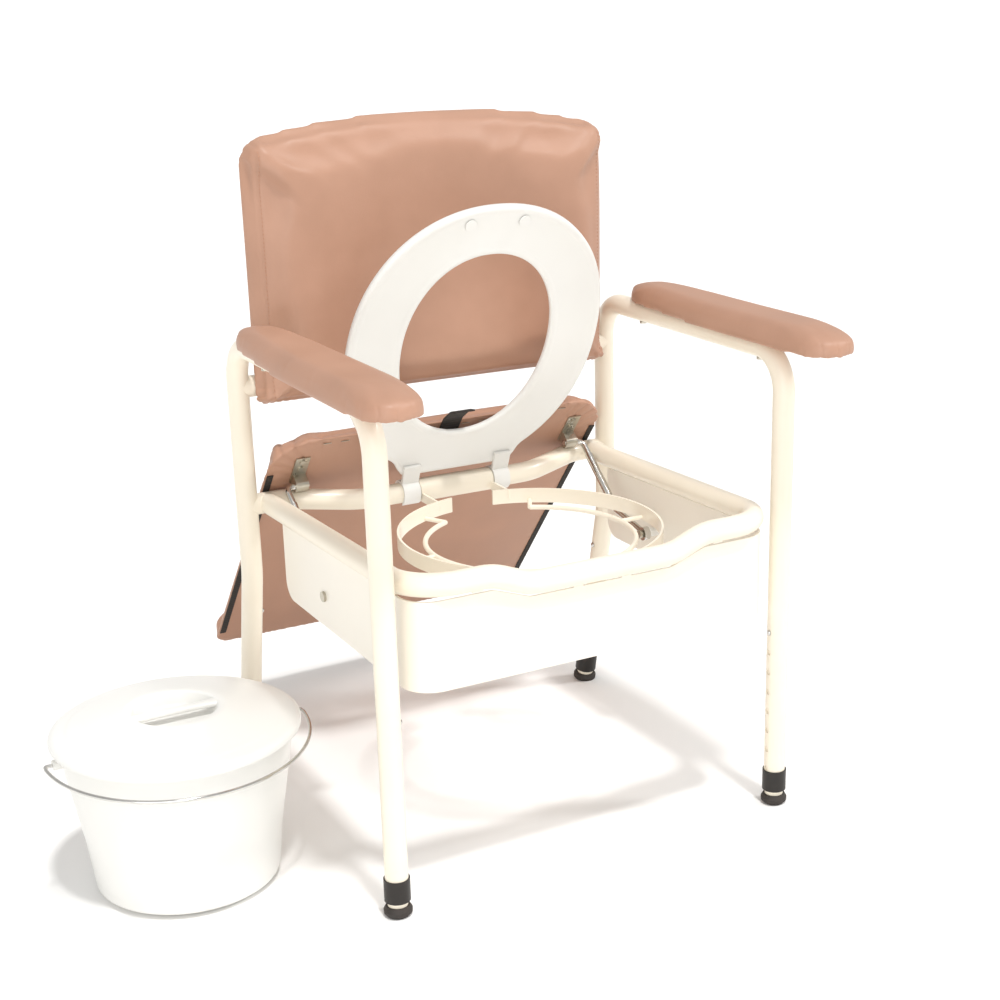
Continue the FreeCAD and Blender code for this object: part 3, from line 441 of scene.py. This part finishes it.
def seat_relief(points):
    """Puckers along the turned-under margin, gathers at the corners and a slow unevenness."""
    x, y, z = points[:, 0], points[:, 1], points[:, 2]
    under = np.clip((3 * MM - z) / (2 * MM), 0, 1)
    edge = np.minimum(np.minimum(SEAT_HALF - np.abs(x), y), SEAT_LENGTH - y)
    margin = np.clip(1 - edge / (24 * MM), 0, 1)
    flank = SEAT_HALF - 30 * MM
    pucker = (0.5 + 0.5 * np.sin(y * 620 + 3 * np.sin(y * 90))) * (np.abs(x) > flank)
    pucker += (0.5 + 0.5 * np.sin(x * 560 + 3 * np.sin(x * 80))) * (np.abs(x) < flank)
    out = -0.7 * MM * pucker * margin * under
    for side in (-1, 1):
        corner = (side * (SEAT_HALF - 18 * MM), 18 * MM)
        centre = (side * (SEAT_HALF - 74 * MM), 74 * MM)
        pleats = corner_pleats(points, corner, centre, 46 * MM, 13, 2.6 * MM)
        out += pleats * np.where(z < 22 * MM, 1.0, 0.3)
    slow = np.sin(x * 23 + 0.7) * np.sin(y * 19 + 0.2)
    top = np.clip((z - 15 * MM) / (10 * MM), 0, 1)
    return out + 0.8 * MM * slow * top


def staples():
    """Wire staples along the turned-under margin of the cover."""
    edge_in = 10 * MM
    boxes = []
    for side in (-1, 1):
        for k in range(13):
            boxes.append((side * (SEAT_HALF - edge_in), 70 * MM + k * 27 * MM, 0.0))
    for k in range(15):
        boxes.append((-160 * MM + k * 22.8 * MM, edge_in, math.pi / 2))
    vertices, faces = [], []
    for x, y, turn in boxes:
        along = Vector((-math.sin(turn), math.cos(turn), 0))
        across = Vector((math.cos(turn), math.sin(turn), 0))
        first = len(vertices)
        for h in (0.2, -0.7):
            for a, b in ((-1, -1), (1, -1), (1, 1), (-1, 1)):
                spot = Vector((x, y, h * MM)) + along * (a * 5 * MM) + across * (b * 0.6 * MM)
                vertices.append(SEAT_PLACE @ spot)
        quads = [(0, 1, 2, 3), (7, 6, 5, 4), (0, 4, 5, 1), (1, 5, 6, 2), (2, 6, 7, 3), (3, 7, 4, 0)]
        faces.extend(tuple(first + v for v in quad) for quad in quads)
    obj = make_object("seat_staples", vertices, faces, NICKEL, smooth=False)
    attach(obj, "padded_seat")


def padded_seat():
    cover = soft_cover("seat_cover", "seat_cushion", SEAT_PLACE, 8.5 * MM, 6, 4.5, 14)
    place_softly(cover, SEAT_PLACE, seat_relief)
    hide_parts("seat_cushion", "seat_board")
    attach(cover, "padded_seat")
    staples()


padded_seat()


# ------------------------------------------------------------------------------------------------
# Armrest covers

ARM_TOP = 554 * MM + 12.7 * MM      # arm tube's centre line and its radius
ARM_X = 257 * MM
ARM_MIDDLE_Y = -79 * MM
ARM_HALF_WIDTH = 38 * MM
ARM_HALF_LENGTH = 209 * MM
ARM_BOARD = 7 * MM
ARM_HEIGHT = 22 * MM                # board and pad together


def arm_relief(points):
    """Small folds round the two ends."""
    x, y, z = points[:, 0], points[:, 1], points[:, 2]
    ends = np.clip((np.abs(y + 0.0755) - 0.165) / 0.03, 0, 1)
    sides = np.clip((22 * MM - z) / (14 * MM), 0, 1)
    folds = np.abs(np.sin(x * 190 + 1.1 * np.sin(y * 60)))
    slow = np.sin(y * 24 + 0.5)
    return -0.9 * MM * (1 - folds) ** 4 * ends * sides + 0.4 * MM * slow * np.clip(z / 0.02, 0, 1)


def crown_arm(mesh):
    """The pad is fullest along its middle and thins towards its sides and ends."""
    points = points_of(mesh)
    across = np.abs(points[:, 0]) / ARM_HALF_WIDTH
    along = np.abs(points[:, 1] - ARM_MIDDLE_Y) / ARM_HALF_LENGTH
    edge = np.clip(across ** 2.5 + along ** 7, 0, 1.1)
    height = np.clip((points[:, 2] + ARM_BOARD) / ARM_HEIGHT, 0, 1)
    points[:, 2] -= 8 * MM * edge ** 1.6 * height
    set_points(mesh, points)


def armrests():
    for side, word in ((-1, "left"), (1, "right")):
        place = Matrix.Translation((side * ARM_X, 0, ARM_TOP))
        cover = soft_cover(f"armrest_cover_{word}", f"armrest_pad_{word}", place, ARM_BOARD, 4, 3.0, 4)
        crown_arm(cover.data)
        place_softly(cover, place, arm_relief)
        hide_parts(f"armrest_pad_{word}", f"armrest_board_{word}")
        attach(cover, "frame")


armrests()


# ------------------------------------------------------------------------------------------------
# Toilet seat

RING_PLACE = (Matrix.Translation((0.008, 0.165, 0.350)) @ Matrix.Rotation(math.pi, 4, "Z")
              @ Matrix.Rotation(math.radians(90 - 22.7), 4, "X"))


RING_HEEL_Y = 180.6      # from the ring's centre to the straight edge of the heel
RING_HEEL_HALF = 79.6
RING_MIDDLE_Z = 5.5


def superellipse_reach(angle, centre_y, half_x, half_y, offset_y, power):
    """Distance from (0, centre_y) to a superellipse centred on (0, offset_y), along an angle."""
    low, high = 0.0, 600.0
    for _ in range(40):
        middle = (low + high) / 2
        x = middle * math.cos(angle)
        y = centre_y + middle * math.sin(angle) - offset_y
        inside = abs(x / half_x) ** power + abs(y / half_y) ** power < 1
        low, high = (middle, high) if inside else (low, middle)
    return low


def toilet_seat():
    stations = 144
    centre = 205.0
    outer, inner = [], []
    for i in range(stations):
        a = math.tau * i / stations
        reach = superellipse_reach(a, centre, 164.6, 182.6, 207.0, 2.15)
        if math.sin(a) < 0:
            to_heel = RING_HEEL_Y / -math.sin(a)
            half_heel = RING_HEEL_HALF / max(abs(math.cos(a)), 1e-6)
            reach = max(reach, min(to_heel, half_heel))
        outer.append(reach)
        inner.append(superellipse_reach(a, centre, 97.3, 123.3, 205.0, 2.1))
    outer = [(outer[i - 1] + 2 * outer[i] + outer[(i + 1) % stations]) / 4 for i in range(stations)]
    section = [(0.0, 2.8), (0.0, -2.8), (0.012, -4.2), (0.045, -5.0), (0.1, -5.0), (0.13, -4.3), (0.16, -3.8),
               (0.84, -3.8), (0.87, -4.3), (0.9, -5.0), (0.955, -5.0), (0.988, -4.2), (1.0, -2.8), (1.0, 0.6),
               (0.985, 2.0), (0.93, 3.2), (0.75, 4.2), (0.5, 4.8), (0.25, 5.0), (0.09, 4.8), (0.025, 4.1)]
    vertices = []
    for i in range(stations):
        a = math.tau * i / stations
        for t, z in section:
            reach = outer[i] * (1 - t) + inner[i] * t
            spot = Vector((reach * math.cos(a), centre + reach * math.sin(a), RING_MIDDLE_Z + z)) * MM
            vertices.append(RING_PLACE @ spot)
    obj = make_object("toilet_seat_moulding", vertices, grid_faces(stations, len(section), True, True),
                      WHITE_PLASTIC)
    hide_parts("toilet_seat")
    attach(obj, "toilet_seat_ring")


toilet_seat()


# ------------------------------------------------------------------------------------------------
# Pan and lid

PAN_PLACE = Matrix.Translation((-0.412, 0.005, 0))


def pan():
    outside = [(0, 0.6), (60, 0.6), (86, 0), (100, 7), (106, 60), (124, 169), (125, 177), (130, 177.2),
               (131, 180), (130, 182.8), (125, 183), (121.6, 181)]
    inside = [(103.6, 60), (97.6, 10), (88, 2.7), (0, 2.6)]
    body = lathe("pan_moulding", rounded(outside + inside, 4), PAN_PLACE, WHITE_PLASTIC)
    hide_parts("pan_body")
    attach(body, "pan")


def lid():
    base = 183.4
    profile = [(0, base + 2.6), (43, base + 2.6), (48, base + 17), (93, base + 9.2), (113, base + 4.2),
               (125, base + 0.3), (131.6, base), (131.6, base - 5), (134, base - 5), (134, base + 1),
               (129, base + 4.4), (117, base + 7), (113, base + 8.4), (94, base + 12.5), (54, base + 21),
               (46, base + 20.6), (41, base + 6), (36, base + 5), (0, base + 5)]
    shell = lathe("pan_lid_moulding", rounded(profile, 3), PAN_PLACE, WHITE_PLASTIC)
    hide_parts("pan_lid")
    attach(shell, "pan_cover")
    vertices = []
    rows, columns = 25, 16
    for i in range(rows):
        t = i / (rows - 1) * 2 - 1
        x = 47.5 * t
        width = 5.6 + 2.6 * t * t
        for j in range(columns):
            a = math.tau * j / columns
            y = width * math.copysign(abs(math.cos(a)) ** 0.6, math.cos(a))
            z = base + 16.6 + 3.2 * math.copysign(abs(math.sin(a)) ** 0.6, math.sin(a))
            vertices.append(PAN_PLACE @ (Vector((x, y, z)) * MM))
    bar = make_object("pan_lid_finger_bar", vertices, grid_faces(rows, columns, False, True), WHITE_PLASTIC)
    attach(bar, "pan_cover")


pan()
lid()


# ------------------------------------------------------------------------------------------------
# Floor, light and camera

def studio():
    reach = 400
    corners = [(-reach, -reach, 0), (reach, -reach, 0), (reach, reach, 0), (-reach, reach, 0)]
    ground = make_object("studio_floor", corners, [(0, 1, 2, 3)], FLOOR)
    world = bpy.data.worlds.new("studio")
    scene.world = world
    world.use_nodes = True
    background = world.node_tree.nodes["Background"]
    background.inputs["Color"].default_value = (1, 1, 1, 1)
    background.inputs["Strength"].default_value = 0.62
    suns = [("key", (0.0, 0.35, -0.94), 1.75, 5.0), ("side", (-0.66, 0.34, -0.62), 1.0, 8.0)]
    for name, direction, strength, spread in suns:
        light = bpy.data.lights.new(name, "SUN")
        light.energy = strength
        light.angle = math.radians(spread)
        aim(name, light, (0, 0, 4), Vector(direction))
    fill = bpy.data.lights.new("fill", "AREA")
    fill.size = 2.4
    fill.energy = 34
    spot = Vector((-1.9, -2.6, 1.3))
    aim("fill", fill, spot, Vector((0, 0, 0.4)) - spot)
    scene.view_settings.view_transform = "Standard"


def aim(name, light, spot, direction):
    lamp = bpy.data.objects.new(name, light)
    lamp.location = spot
    lamp.rotation_euler = direction.to_track_quat("-Z", "Y").to_euler()
    scene.collection.objects.link(lamp)


def camera():
    data = bpy.data.cameras.new("camera")
    data.lens = 61.95
    data.sensor_width = 36
    data.shift_x = -0.120
    data.shift_y = 0.0443
    obj = bpy.data.objects.new("camera", data)
    obj.location = (-0.8921, -1.7107, 0.9616)
    turn = (Matrix.Rotation(math.radians(-31.4), 3, "Z") @ Matrix.Rotation(math.radians(71.5), 3, "X")
            @ Matrix.Rotation(math.radians(-0.3), 3, "Z"))
    obj.rotation_euler = turn.to_euler()
    scene.collection.objects.link(obj)
    scene.camera = obj


studio()
camera()
